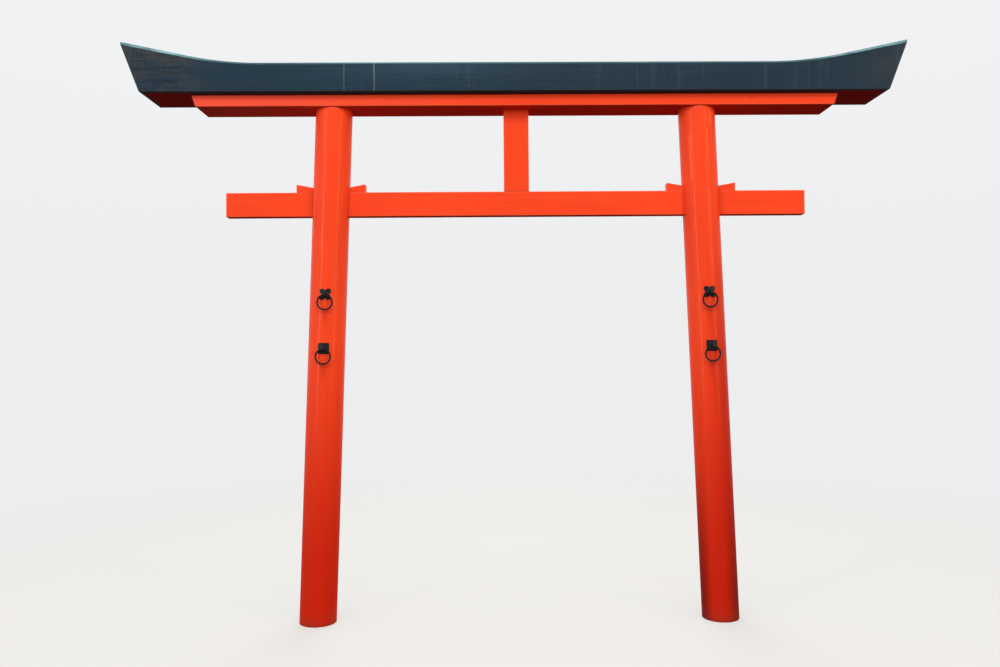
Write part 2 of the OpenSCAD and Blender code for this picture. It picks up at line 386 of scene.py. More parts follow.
class Vermilion(Finish):
    """Gloss vermilion paint, brushed along a timber's axis; pith is a point on the timber's heart."""

    def __init__(self, name, axis, pith):
        self.paints = bpy.context.scene.torii_finishes
        super().__init__(
            name, self.paints.vermilion, VERMILION_WEAR_AND_LIGHT, IOR=1.45, Coat_Roughness=0.09, Specular_IOR_Level=0.07
        )
        self.axis, self.pith = axis, pith
        self.brush = self.noise(along(axis, 5.0, 420.0), 3.0, 0.6)
        self.strokes = self.noise(along(axis, 2.2, 75.0), 3.0, 0.55, (3.1, 1.7, 0.4), 0.4)
        self.grain = self.noise(along(axis, 0.9, 26.0), 5.0, 0.6, (0.3, 7.7, 2.9), 1.2)
        self.peel = self.noise(230.0)
        self.broad = self.noise(2.3, 3.0, 0.5, (5.0, 0.0, 1.0))
        self.beneath = self.dull = self.up.ramp(-0.55, -0.9)
        self.growth = self.end_grain(axis, pith)
        self.rough_ends = [(self.growth, 0.0004)]
        cells = {"Vector": self.stretched(along(axis, 0.55, 1.0)), "Scale": 6.5, "Randomness": 1.0}
        self.knots = self.node("ShaderNodeTexVoronoi", {"feature": "F1"}, cells, "Distance").ramp(0.115, 0.03)
        thick = self.broad.ramp(0.28, 0.75) * 0.14 + self.strokes.ramp(0.45, 0.8) * 0.14
        self.deepen(thick + self.brush.ramp(0.45, 0.8) * 0.10)
        self.deepen(self.knots * 0.12)
        self.paint(self.grain.ramp(0.5, 0.8) * 0.14, self.paints.vermilion_pale)
        self.deepen(self.growth * 0.16)
        # Undersides painted deeper red: painted shade
        self.deepen(self.beneath * 0.72)

    def deepen(self, factor):
        self.paint(factor, self.paints.vermilion_deep)

    def stray(self, reach):
        """A small offset that keeps the border of a mark from being straight."""
        return (self.strokes - 0.5) * reach

    def rub_and_highlight_edges(self, middle, half):
        """Paint worn pale along a box's arrises, partly a painted highlight there, and chipped off in places;
        its ends are smooth.
        """
        self.rough_ends = []
        depth = [half[i] - abs(self.spot[i] - middle[i]) for i in range(3)]
        first, second = (depth[i] for i in range(3) if i != self.axis)
        end = depth[self.axis].most(first.least(second))
        from_arris = first.most(second).least(end) + self.stray(0.004)
        # Pale along the arrises: partly worn paint, partly a painted highlight
        self.paint(from_arris.ramp(0.0065, 0.001) * 0.72, self.paints.vermilion_pale)
        chips = (from_arris + (self.peel - 0.5) * 0.007).ramp(0.0012, 0.0004) * self.broad.ramp(0.50, 0.56)
        self.paint(chips * 0.85, self.paints.bare_wood)

    def fade_left(self, share):
        """The left end painted paler and pinker: a painted reflection."""
        paled = self.x.ramp(MID_X + 0.2, MID_X - UPPER_HALF.x) * (self.broad * 0.5 + 0.65)
        self.paint(paled * share, "faded")

    def shade_joint(self, place, reach):
        """A dark joint line where another timber meets this one, at a place along the axis and as far as reach,
        with painted shade beside it.
        """
        gap = abs(self.spot[self.axis] - place + self.stray(0.006)) - reach
        # The narrow part is a dark joint line; the wide soft part is painted shade
        joint_line_and_shade = gap.ramp(0.020, 0.0) * 0.12 + gap.ramp(0.0016, 0.0004) * 0.18
        self.paint(joint_line_and_shade * (self.peel * 0.6 + 0.7), "joint_line_and_shade")

    def draw_hairs(self):
        """Fine cracks in the paint: across a pillar, along a beam."""
        fine = along(UPRIGHT, 150.0, 7.0) if self.axis == UPRIGHT else along(self.axis, 1.6, 150.0)
        self.hairs = self.noise(fine, 2.0, 0.5, (4.0, 6.0, 1.0)).ramp(0.70, 0.73) * self.broad.ramp(0.48, 0.60)
        self.deepen(self.hairs * 0.13)

    def shade_under_overhang(self, height):
        """A painted shadow: dark just under a height, where the timber above overhangs."""
        painted_shade = (self.z + self.stray(0.002)).ramp(height - 0.011, height - 0.005)
        self.paint(painted_shade * 0.92, "painted_shade")

    def shade_foot(self, left, right):
        """Painted shade: darker towards the ground and on the flanks, with the surface duller there; and earth
        splashes at the foot.
        """
        sideways = self.facing[0]
        lower_shade = (self.z + self.broad * 0.35).ramp(1.75, 0.35)
        self.dull = self.beneath.most(lower_shade * 0.5)
        self.deepen(lower_shade * 0.96)
        level = self.z + self.broad * 0.3
        shaded = sideways.ramp(-0.70, 0.85) * level.ramp(2.4, 1.25)
        self.paint(shaded * right, "shaded")
        flank_shadow = sideways.ramp(0.0, 1.0) * right + sideways.ramp(-0.55, -1.0) * left
        self.paint(flank_shadow * level.ramp(1.05, 0.22), "flank_shadow")
        splash = (self.z + self.noise((14.0, 14.0, 30.0), 4.0, 0.7) * 0.16).ramp(0.16, 0.06)
        self.paint(splash * 0.35, "splash")

    def stain_below(self, top):
        """The stain that trickles down from a ring's lowest point."""
        across = abs(self.x - top.x + self.stray(0.010)).ramp(0.022, 0.002)
        streak = across * self.z.ramp(top.z - 0.11, top.z - 0.01) * self.z.ramp(top.z + 0.02, top.z - 0.005)
        self.paint(streak * self.y.ramp(0.0, -0.05) * 0.40, "stain")

    def highlight_up(self, offset, low, high, width, weight):
        """A painted highlight: a pale line up the front of a leaning pillar."""
        lean = math.tan(bpy.context.scene.torii_timber.pillar_lean) * (1.0 if self.pith[0] < MID_X else -1.0)
        away = abs(self.x - self.z * lean - self.pith[0] - offset + self.stray(0.007))
        streak = away.ramp(width, width * 0.2) * self.z.ramp(low, low + 0.03) * self.z.ramp(high, high - 0.03)
        self.paint(streak * self.y.ramp(0.0, -0.03) * (self.strokes.ramp(0.2, 0.6) * weight), "streak")

    def finished(self):
        """Adds specks and dust, feeds the shader and gives the material."""
        specks = self.noise(95.0, 4.0, 0.75, (2.0, 3.0, 8.0)).ramp(0.735, 0.775)
        dust = self.up.ramp(0.35, 0.95) * self.noise(38.0, 5.0, 0.65).ramp(0.3, 0.75)
        self.paint(specks * 0.35, "speck")
        self.paint(dust * 0.22, "dust")
        sway = self.noise(along(self.axis, 3.0, 9.0), 1.0, 0.4, (9.0, 2.0, 4.0))
        relief = 1.0 - self.beneath * 0.8
        return self.feed(
            Base_Color=self.colour,
            Roughness=self.brush * 0.10 + self.strokes * 0.08 + dust * 0.35 + self.dull * 0.83 + 0.17,
            Coat_Weight=(0.09 - dust * 0.08) * (1.0 - self.dull),
            Normal=self.bump(
                (sway * relief, 0.005), (self.grain * relief, 0.0010), (self.strokes * relief, 0.0005),
                (self.knots, 0.0008), (self.peel, 0.00006), (self.brush * relief, 0.00016), *self.rough_ends,
                (1.0 - self.hairs, 0.00016),
            ),
        )


def vermilion_finish(
    name, axis, pith, edges=None, fade=0.0, joints=(), crown=None, foot=None, stains=(), highlight_streaks=()
):
    """One timber's vermilion paint, with the marks and the painted light and shade that it asks for, in the
    order they came.
    """
    paint = Vermilion(name, axis, pith)
    if edges:
        paint.rub_and_highlight_edges(*edges)
    if fade:
        paint.fade_left(fade)
    for place, reach in joints:
        paint.shade_joint(place, reach)
    paint.draw_hairs()
    if crown:
        paint.shade_under_overhang(crown)
    if foot:
        paint.shade_foot(*foot)
    for top in stains:
        paint.stain_below(top)
    for streak in highlight_streaks:
        paint.highlight_up(*streak)
    return paint.finished()


def lintel_finish():
    """Blue-black paint of the upper lintel: greyed at the tips, rain marks down the face, painted sheen and sky
    reflection, and red beneath, dark as painted shade.
    """
    timber = bpy.context.scene.torii_timber
    paints = bpy.context.scene.torii_finishes
    wear_and_light = LINTEL_WEAR_AND_LIGHT
    mix = Finish(
        "blue_black_paint", paints.lintel_black, wear_and_light, IOR=1.45, Coat_Roughness=0.2, Specular_IOR_Level=0.13
    )
    x, y, z = mix.spot
    from_middle = abs(x - MID_X)
    brush = mix.noise((4.0, 420.0, 420.0), 3.0, 0.6)
    fibre = mix.noise((1.6, 110.0, 110.0), 4.0, 0.65, (1.0, 2.0, 3.0), 0.6)
    grain = mix.noise((0.7, 34.0, 34.0), 5.0, 0.6, (4.0, 1.0, 0.0), 1.4)
    broad = mix.noise((3.0, 5.0, 9.0), 4.0, 0.6, (7.0, 3.0, 1.0))
    top = mix.up.ramp(0.75, 0.93)
    beneath = mix.up.ramp(-0.7, -0.9)

    # A painted highlight: the sheen, a brighter patch on the face left of mid-span
    sheen = (abs(x - 0.55) + (broad - 0.5) * 0.5).ramp(0.75, 0.1) * z.ramp(UPPER_Z + 0.01, UPPER_Z + 0.13)
    mix.paint(sheen * 0.55, "sheen")
    mix.paint(grain.ramp(0.45, 0.75) * 0.45, "grain")
    ends = mix.end_grain(ALONG_X, (0.0, 0.02, UPPER_Z - 0.06), 0.007)
    mix.paint(ends * 0.5, "ends")
    rain = mix.noise((85.0, 85.0, 1.3), 3.0, 0.6, (0.0, 5.0, 2.0)).ramp(0.52, 0.72)
    rain_patch = mix.noise((4.5, 4.5, 1.0), 3.0, 0.5, (3.0, 0.0, 0.0)).ramp(0.45, 0.62)
    mix.paint(rain * rain_patch * 0.09, "rain")

    tips = x + (broad - 0.5) * 0.5
    worn = tips.ramp(-0.38, -0.72).most(tips.ramp(2.60, 2.90) * 0.35)
    brushed = mix.noise((120.0, 120.0, 5.0), 3.0, 0.6, (6.0, 0.0, 2.0))
    blotch = mix.noise((7.0, 17.0, 19.0), 6.0, 0.72, (2.0, 0.0, 5.0), 0.5)
    patches = worn * (blotch * 0.9 + fibre * 0.25 + brushed * 0.25 - 0.2).ramp(0.36, 0.72)
    mix.paint(patches * 0.68, paints.weathered)
    splits = worn * mix.noise((2.4, 120.0, 120.0), 3.0, 0.55, (8.0, 1.0, 2.0), 1.4).ramp(0.36, 0.31)
    mix.paint(splits * 0.8, "split")

    # A painted reflection of the sky along the top chamfers, brighter towards the tips
    chamfer_reflection = mix.up.ramp(0.25, 0.5) * mix.up.ramp(0.95, 0.86) * (fibre * 0.9 + broad * 0.7).ramp(0.42, 0.95)
    brighter_at_tips = from_middle.ramp(1.40, 1.72) * (broad * 0.6 + 0.5)
    mix.paint(chamfer_reflection * (worn * 0.2 + 0.8), mix.blend(brighter_at_tips, wear_and_light["chamfer_reflection"], wear_and_light["chamfer_reflection_tip"]))
    wander = (mix.noise((4.0, 4.0, 9.0), 2.0, 0.5, (1.0, 4.0, 6.0)) - 0.5) * 0.014 + (brush - 0.5) * 0.002
    down_front = y.ramp(0.03 - UPPER_HALF.y, 0.01 - UPPER_HALF.y)
    down_front = down_front * (z.ramp(UPPER_Z - 0.02, UPPER_Z + 0.13) * 0.5 + 0.5)
    for centre, width, weight in RAIN_MARKS:
        streak = abs(x - centre + wander).ramp(width, width * 0.2) * down_front
        mix.paint(streak * weight * (broad * 0.7 + 0.45), "streak")

    dust = top * (mix.noise((9.0, 34.0, 34.0), 6.0, 0.7) * 0.75 + fibre * 0.35).ramp(0.30, 0.80)
    mix.paint(dust * 0.55, "dust")
    lichen = top * mix.noise(60.0, 5.0, 0.7, (3.0, 1.0, 4.0)).ramp(0.60, 0.68) * broad.ramp(0.45, 0.6)
    mix.paint(lichen * 0.45, "lichen")
    furrows = top * mix.noise((2.0, 150.0, 150.0), 3.0, 0.6, (2.0, 2.0, 2.0), 0.6).ramp(0.40, 0.33)
    mix.paint(furrows * 0.5, "furrow")
    mix.paint(top * grain.ramp(0.55, 0.75) * 0.3, "grey_grain")
    arris = (z + (fibre - 0.5) * 0.002).ramp(UPPER_Z + 0.006, UPPER_Z + 0.002)
    mix.paint(arris * 0.35, "arris")

    # Painted shadow: the black reaches 20 mm further in over the lower lintel; the red beneath is darker than
    # the vermilion as painted shade
    shadow_over_lower = (LOWER_HALF.x - from_middle).ramp(-0.01, 0.01) * 0.020
    inside = (UPPER_HALF.y - 0.022 - shadow_over_lower - abs(y)).least(timber.upper_length / 2 - 0.014 - from_middle)
    red = mix.blend(grain.ramp(0.4, 0.8) * 0.35, wear_and_light["underside"], wear_and_light["dark_underside"])
    mix.paint(beneath * inside.ramp(-0.001, 0.001), red)
    return mix.feed(
        Base_Color=mix.colour,
        Roughness=brush * 0.12 + worn * 0.28 + dust * 0.30 + beneath * 0.74 + 0.26,
        Coat_Weight=(0.08 - worn.most(dust) * 0.08) * (1.0 - beneath),
        Normal=mix.bump((broad, 0.004), (grain, 0.0010), (fibre, 0.0003), (brush, 0.0001), (ends, 0.0006),
                        (1.0 - splits.most(furrows), 0.0012), (lichen, 0.0006)),
    )


def iron_finish():
    """Black painted iron, hammered, a little worn and rusty, with painted shade in a band under each eye; made
    once for all the fittings.
    """
    made = bpy.data.materials.get("hammered_iron")
    if made:
        return made
    colour = bpy.context.scene.torii_finishes.iron
    mix = Finish("hammered_iron", colour, IRON_WEAR_AND_SHADE, IOR=1.5, Specular_IOR_Level=0.20)
    cells = {"Vector": mix.place, "Scale": 170.0, "Smoothness": 0.7}
    blows = mix.node("ShaderNodeTexVoronoi", {"feature": "SMOOTH_F1"}, cells, "Distance")
    grit = mix.noise(700.0, 4.0, 0.7)
    broad = mix.noise(60.0, 3.0, 0.6)
    mix.paint(broad.ramp(0.45, 0.8) * 0.4, "bright")
    mix.paint(grit.ramp(0.60, 0.75) * broad.ramp(0.45, 0.7) * 0.5, "rust")
    # Painted shade: a dark band just under each eye's pin, where the eye and the ring shade the fittings
    eye_shade = 0.0
    for level in LEVELS:
        pin = PIN_OF[f"left_{level}_ring"].z
        eye_shade = mix.z.ramp(pin + 0.003, pin - 0.006) * mix.z.ramp(pin - 0.030, pin - 0.022) + eye_shade
    mix.paint(eye_shade * 0.75, "painted_shade")
    return mix.feed(
        Base_Color=mix.colour, Roughness=broad * 0.22 + grit * 0.1 + eye_shade * 0.25 + 0.14,
        Metallic=broad.ramp(0.2, 0.9) * 0.35, Normal=mix.bump((blows, 0.0012), (grit, 0.00015)),
    )


def smoothed(mesh, sharp_angle=math.radians(38)):
    """Shades a mesh smooth but for its sharp edges."""
    for polygon in mesh.polygons:
        polygon.use_smooth = True
    mesh.set_sharp_from_angle(angle=sharp_angle)


def painted(mesh, material):
    mesh.materials.clear()
    mesh.materials.append(material)


def new_piece(name, mesh, material=None):
    """An object for a finished mesh."""
    if name in bpy.data.objects:
        raise RuntimeError(name + " is already there")
    smoothed(mesh)
    if material:
        painted(mesh, material)
    piece = bpy.data.objects.new(name, mesh)
    bpy.context.scene.collection.objects.link(piece)
    return piece


def hand_over(piece, body, slot, *nodes):
    """Hangs the piece on its body's empty and hides the nodes that it stands for; slot is not used."""
    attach(piece, body)
    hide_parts(*nodes)


def mesh_of(name, build):
    """A mesh from a function that fills a bmesh, with its doubles merged and its faces turned outwards."""
    shape = bmesh.new()
    build(shape)
    bmesh.ops.remove_doubles(shape, verts=shape.verts, dist=1e-6)
    bmesh.ops.recalc_face_normals(shape, faces=shape.faces)
    mesh = bpy.data.meshes.new(name)
    shape.to_mesh(mesh)
    shape.free()
    return mesh


def skin(shape, loops):
    """Quads between loops of the same number of points; gives the loops' vertices."""
    rings = [[shape.verts.new(point) for point in loop] for loop in loops]
    for first, second in zip(rings, rings[1:]):
        for i in range(len(first)):
            j = (i + 1) % len(first)
            shape.faces.new((first[i], first[j], second[j], second[i]))
    return rings


def loft(shape, loops):
    """A skin over loops, with both ends closed."""
    rings = skin(shape, loops)
    shape.faces.new(reversed(rings[0]))
    shape.faces.new(rings[-1])


def lofted(name, loops):
    return mesh_of(name, lambda shape: loft(shape, loops))


def rounded_rectangle(half_a, half_b, radius, inset=0.0, steps=5, flats=(0.004, 0.02)):
    """Points of a rectangle with rounded corners, with extra points on its sides that keep them flat."""
    quarter = math.pi / 2
    signs = ((1, 1), (-1, 1), (-1, -1), (1, -1))
    centres = [Vector((a * (half_a - radius), b * (half_b - radius))) for a, b in signs]

    def on_arc(corner, turn):
        return centres[corner] + Vector((math.cos(turn), math.sin(turn))) * (radius - inset)

    points = []
    for corner in range(4):
        start = corner * quarter
        arc = [on_arc(corner, start + quarter * i / steps) for i in range(steps + 1)]
        end = on_arc((corner + 1) % 4, start + quarter)
        side = (end - arc[-1]).length
        near = [min(flat, side * share) for flat, share in zip(flats, (0.15, 0.3))]
        places = [*near, side / 2, *(side - place for place in reversed(near))]
        points += arc + [arc[-1].lerp(end, place / side) for place in places]
    return points


def uneven(x, y, z):
    """A smooth random number between 0 and 1 for a point."""
    return 0.5 + 0.5 * noise.noise(Vector((x, y, z)))


def planed(point, depth, seed):
    """How far a planed surface lies below its true face at a point, between 0 and depth."""
    return depth * uneven(point.x * 2.1 + seed, point.y * 11.0, point.z * 11.0)


def rounded_end(end, half_length, steps):
    """Places along a beam's rounded end from the tip inwards, as (share of half the length, inset)."""
    turns = [math.pi / 2 * (1 - i / steps) for i in range(steps + 1)]
    return [(1 - end * (1 - math.sin(turn)) / half_length, end * (1 - math.cos(turn))) for turn in turns]


def end_to_end(tip, spread):
    """The places of one tip, those between and those of the other tip."""
    return tip + [(share, 0.0) for share in spread] + [(-share, inset) for share, inset in reversed(tip)]


def beam_loops(half_length, half_depth, half_height, radius, sections, slant=0.0, seed=0.0):
    """Loops along +X of a beam whose underside is at z = 0, with rounded arrises and slanted ends."""
    waviness = bpy.context.scene.torii_timber.waviness
    end = radius * 0.85
    inner = [1 - (end + 0.004) / half_length, 1 - 0.03 / half_length]
    tip = rounded_end(end, half_length, 4) + [(share, 0.0) for share in inner]
    spread = [inner[-1] * (1 - 2 * i / sections) for i in range(1, sections)]
    loops = []
    for share, inset in end_to_end(tip, spread):
        loop = []
        for y, z in rounded_rectangle(half_depth, half_height, radius, inset):
            point = Vector((share * (half_length + (z + half_height) * math.tan(slant)), y, z + half_height))
            dent = planed(point, waviness, seed)
            point.y *= 1 - dent / half_depth
            point.z = half_height + z * (1 - dent / half_height)
            loop.append(point)
        loops.append(loop)
    return loops


def moved(loops, shift):
    return [[point + shift for point in loop] for loop in loops]


def made_plain(piece):
    """Takes the piece's modifiers into its mesh."""
    evaluated = piece.evaluated_get(bpy.context.evaluated_depsgraph_get())
    mesh = bpy.data.meshes.new_from_object(evaluated)
    piece.modifiers.clear()
    piece.data = mesh
    mesh.name = piece.name


def cut_away(piece, cutter_mesh):
    """Cuts a mesh out of a piece with an exact boolean and keeps the result as the piece's plain mesh."""
    cutter = bpy.data.objects.new("cutter", cutter_mesh)
    bpy.context.scene.collection.objects.link(cutter)
    boolean = piece.modifiers.new("Cut", "BOOLEAN")
    boolean.operation = "DIFFERENCE"
    boolean.solver = "EXACT"
    boolean.object = cutter
    made_plain(piece)
    bpy.data.objects.remove(cutter)


def timber_piece(name, node, loops, axis, pith, **wear_and_light):
    """A vermilion timber from its loops, painted and handed over in place of its node."""
    finish = vermilion_finish(name.partition("_")[2] + "_paint", axis, pith, **wear_and_light)
    piece = new_piece(name, lofted(node, loops), finish)
    hand_over(piece, GATE, TIMBER_SLOT, node)


def axis_x(side, z):
    """Where a pillar's axis stands at a height."""
    foot = 0.0 if side == "left" else 2 * MID_X
    return foot + SIDES[side] * z * math.tan(bpy.context.scene.torii_timber.pillar_lean)


class TORII_OT_pillars(bpy.types.Operator):
    """Turn the pillars, cut their mortises and paint them"""

    bl_idname = "torii.pillars"
    bl_label = "Pillars"

    def execute(self, context):
        for side in SIDES:
            name = side + "_pillar"
            stains = [PIN_OF[f"{side}_{level}_ring"] - STAIN_DROP for level in LEVELS]
            finish = vermilion_finish(
                name + "_paint", UPRIGHT, (axis_x(side, 0.0), 0.0, 0.0), joints=((LOWER_Z, 0.0),),
                foot=FLANK_SHADE[side], stains=stains, highlight_streaks=PAINTED_HIGHLIGHTS[side],
            )
            piece = new_piece("turned_" + name, lofted(name, self.turned(side)))
            cut_away(piece, self.mortise(side))
            painted(piece.data, finish)
            hand_over(piece, GATE, TIMBER_SLOT, name)
        return {"FINISHED"}

    def turned(self, side, around=224, rows=110, edge=0.0025):
        """Loops up a leaning pillar with eased edges, uneven by the depth of the planing marks."""
        timber = bpy.context.scene.torii_timber
        foot = [(0.0, edge), (edge * 0.3, edge * 0.3), (edge, 0.0)]
        shaft = [(edge + (LOWER_Z - 2 * edge) * i / rows, 0.0) for i in range(1, rows)]
        loops = []
        for z, inset in foot + shaft + [(LOWER_Z - height, inset) for height, inset in reversed(foot)]:
            loop = []
            for i in range(around):
                across, deep = math.cos(math.tau * i / around), math.sin(math.tau * i / around)
                dent = timber.waviness * uneven(across * 1.3 + SIDES[side] * 5, deep * 1.3, z * 1.1)
                radius = timber.pillar_radius - inset - dent
                x = axis_x(side, z) + radius / math.cos(timber.pillar_lean) * across
                loop.append(Vector((x, radius * deep, z)))
            loops.append(loop)
        return loops

    def mortise(self, side, gap=0.0006, reach=0.16):
        """The tie beam's mortise and the wedges' slot over it, as one closed form."""
        centre = axis_x(side, TIE_TOP)
        wedge, half = box_middle(side + "_outer_wedge")
        slope = math.tan(bpy.context.scene.torii_timber.wedge_slope)
        outer = abs(wedge.x - centre) + half.x
        low, high = TIE_TOP - 2 * TIE_HALF.z - gap, wedge.z + half.z + gap
        shoulder = high + (reach - outer) * slope
        valley = high - outer * slope
        section = [(-reach, low), (reach, low), (reach, shoulder), (0.0, valley), (-reach, shoulder)]
        sides = (-TIE_HALF.y - gap, TIE_HALF.y + gap)
        return lofted("mortise", [[Vector((centre + x, y, z)) for x, z in section] for y in sides])


class TORII_OT_tie_beam(bpy.types.Operator):
    """Plane and paint the tie beam"""

    bl_idname = "torii.tie_beam"
    bl_label = "Tie beam"

    def execute(self, context):
        timber = context.scene.torii_timber
        loops = beam_loops(*TIE_HALF, timber.arris, timber.sections, seed=3.0)
        loops = moved(loops, Vector((TIE_MIDDLE.x, 0.0, TIE_MIDDLE.z - TIE_HALF.z)))
        timber_piece(
            "planed_tie_beam", "tie_beam", loops, ALONG_X, TIE_MIDDLE - Vector((0.0, 0.021, 0.15)),
            edges=(TIE_MIDDLE, TIE_HALF),
            joints=[(axis_x(side, TIE_MIDDLE.z), timber.pillar_radius) for side in SIDES],
        )
        return {"FINISHED"}


class TORII_OT_wedges(bpy.types.Operator):
    """Cut the wedges that lock the tie beam in its mortises"""

    bl_idname = "torii.wedges"
    bl_label = "Wedges"

    def execute(self, context):
        for side, lean in SIDES.items():
            for place, way in (("outer", -lean), ("inner", lean)):
                name = f"{side}_{place}_wedge"
                middle, half = box_middle(name)
                pith = middle - Vector((0.0, 0.0, 0.05))
                timber_piece("cut_" + name, name, self.tapered(middle, half, way), ALONG_X, pith)
        return {"FINISHED"}

    def tapered(self, middle, half, way, sections=14):
        """Loops along +X of a wedge; way is the direction along X in which it thickens."""
        slope = math.tan(bpy.context.scene.torii_timber.wedge_slope)
        span = 2 * half.x
        tip = [(0.0, 0.0016), (0.0005, 0.0005), (0.0016, 0.0)]
        places = tip + [(span * i / sections, 0.0) for i in range(1, sections)]
        places += [(span - place, inset) for place, inset in reversed(tip)]
        loops = []
        for place, inset in places:
            thin = span - place if way > 0 else place
            tall = half.z - slope * thin / 2
            corner = Vector((middle.x - half.x + place, 0.0, middle.z - half.z + tall))
            outline = rounded_rectangle(half.y, tall, 0.0022, inset, 3, (0.003, 0.008))
            loops.append([corner + Vector((0.0, y, z)) for y, z in outline])
        return loops


class TORII_OT_strut(bpy.types.Operator):
    """Plane and paint the centre strut"""

    bl_idname = "torii.strut"
    bl_label = "Centre strut"

    def execute(self, context):
        timber = context.scene.torii_timber
        half_height = (LOWER_Z - TIE_TOP) / 2
        middle = Vector((STRUT_MIDDLE.x, 0.0, TIE_TOP + half_height))
        half = Vector((STRUT_HALF.x, STRUT_HALF.y, half_height * 1.2))
        upright = Matrix(((0, 1, 0), (0, 0, 1), (1, 0, 0)))
        loops = beam_loops(half_height, STRUT_HALF.x, STRUT_HALF.y, timber.arris * 0.8, 24, seed=8.0)
        loops = [[upright @ point for point in loop] for loop in loops]
        loops = moved(loops, middle - Vector((0.0, STRUT_HALF.y, 0.0)))
        timber_piece(
            "planed_strut", "centre_strut", loops, UPRIGHT, middle, edges=(middle, half),
            joints=((TIE_TOP, 0.0), (LOWER_Z, 0.0)),
        )
        return {"FINISHED"}


class TORII_OT_lower_lintel(bpy.types.Operator):
    """Plane and paint the lower lintel"""

    bl_idname = "torii.lower_lintel"
    bl_label = "Lower lintel"

    def execute(self, context):
        timber = context.scene.torii_timber
        half_length = timber.lower_length / 2
        slant = math.atan((LOWER_HALF.x - half_length) / (2 * LOWER_HALF.z))
        loops = beam_loops(half_length, LOWER_HALF.y, LOWER_HALF.z, timber.arris, timber.sections, slant, 5.0)
        loops = moved(loops, Vector((MID_X, 0.0, LOWER_Z)))
        timber_piece(
            "planed_lower_lintel", "lower_lintel", loops, ALONG_X, LOWER_MIDDLE - Vector((0.0, 0.03, 0.12)),
            edges=(LOWER_MIDDLE, LOWER_HALF), fade=0.6, crown=UPPER_Z,
        )
        return {"FINISHED"}


class TORII_OT_upper_lintel(bpy.types.Operator):
    """Shape the upper lintel: a straight timber, swept, pitched and slanted by a Geometry Nodes tree"""

    bl_idname = "torii.upper_lintel"
    bl_label = "Upper lintel"

    def execute(self, context):
        timber = context.scene.torii_timber
        finish = lintel_finish()
        piece = new_piece("swept_upper_lintel", lofted("upper_lintel", self.straight(timber)), finish)
        values = {
            "Half Length": timber.upper_length / 2, "Height": timber.upper_height,
            "End Slope": math.tan(timber.upper_slant), "Sweep Start": timber.sweep_start,
            "Sweep Radius": timber.sweep_radius, "Sweep Slope": math.tan(timber.sweep_angle),
            "Bend Reach": timber.sweep_radius * math.sin(timber.sweep_angle), "Middle": (MID_X, 0.0, UPPER_Z),
        }
        shaped_by(piece, self.sweep_tree(values), values, finish)
        hand_over(piece, GATE, BLACK_SLOT, "upper_lintel")
        return {"FINISHED"}

    def section(self, timber):
        """Half of the section from the underside's middle up the front to the ridge, as depth and height."""
        half, tall, cut = UPPER_HALF.y, timber.upper_height, timber.top_chamfer
        pitch = math.tan(timber.roof_pitch)
        upper = ((half, tall - cut), (half - cut, tall + cut * pitch), (0.0, tall + half * pitch))
        corners = [Vector(corner) for corner in ((0.0, 0.0), (half, 0.0), *upper)]
        points = corners[:1]
        for radius, before, here, after in zip((timber.arris, 0.003, 0.003), corners, corners[1:], corners[2:]):
            back, onward = (before - here).normalized(), (after - here).normalized()
            bend = math.pi - back.angle(onward)
            centre = here + (back + onward).normalized() * radius / math.cos(bend / 2)
            start, stop = (here + way * radius * math.tan(bend / 2) for way in (back, onward))
            last = points[-1]
            span = (start - last).length
            places = [span / 3, span * 2 / 3]
            if span > 0.1:
                places = [0.004, 0.02, *places, span - 0.02, span - 0.004]
            points += [last.lerp(start, place / span) for place in places]
            points += [
                centre + (start - centre).lerp(stop - centre, k / 4).normalized() * radius for k in range(5)
            ]
        last, ridge = points[-1], corners[-1]
        points += [last.lerp(ridge, share) for share in (0.05, 0.15, 0.4, 0.7, 0.9, 0.975)]
        return points + [ridge - Vector((0.0, 0.0006))]

    def straight(self, timber, sections=180):
        """Loops of the timber before its sweep, with X from -1 to 1 and rounded ends."""
        half_length, half_depth = timber.upper_length / 2, UPPER_HALF.y
        inner = 1 - 0.012 / half_length
        spread = [inner * (1 - 2 * i / sections) for i in range(sections + 1)]
        core = Vector((0.0, timber.upper_height / 2))
        front = self.section(timber)
        outline = [Vector((-y, z)) for y, z in front] + front[-2:0:-1]
        loops = []
        for share, inset in end_to_end(rounded_end(0.003, half_length, 3), spread):
            shrink = Vector((1 - inset / half_depth, 1 - inset / core.y))
            loop = []
            for point in outline:
                y, z = core + (point - core) * shrink
                dent = planed(Vector((share * half_length, y, z)), timber.waviness, 12.0) * (z > 0.002)
                loop.append(Vector((share, y * (1 - dent / half_depth), z - dent * (z > timber.upper_height))))
            loops.append(loop)
        return loops

    def sweep_tree(self, values):
        """The Geometry Nodes tree that sweeps the top up towards the ends and slants the ends."""
        tree, recipe, inputs = geometry_tree("Sweep a lintel", values)
        u, y, z = recipe.split(recipe.node("GeometryNodeInputPosition"))
        half_length, slope = inputs["Half Length"], inputs["End Slope"]
        radius, reach = inputs["Sweep Radius"], inputs["Bend Reach"]

        def lift(x):
            """How far the top rises at a distance from mid-span: along an arc, then along its tangent."""
            past = (abs(x) - inputs["Sweep Start"]).most(0.0)
            bend = past.least(reach)
            straight_on = (past - reach).most(0.0) * inputs["Sweep Slope"]
            return radius - (radius * radius - bend * bend).sqrt() + straight_on

        share = (z / inputs["Height"]).least(1.0)
        x = u * (half_length + inputs["Height"] * slope)
        for _ in range(3):
            x = u * (half_length + (z + lift(x) * share) * slope)
        swept = recipe.join(x, y, z + lift(x) * share)
        place = recipe.vector_maths("ADD", {0: swept, 1: inputs["Middle"]})
        sockets = {"Geometry": inputs["Geometry"], "Position": place}
        close_tree(recipe, recipe.node("GeometryNodeSetPosition", None, sockets), inputs)
        return tree


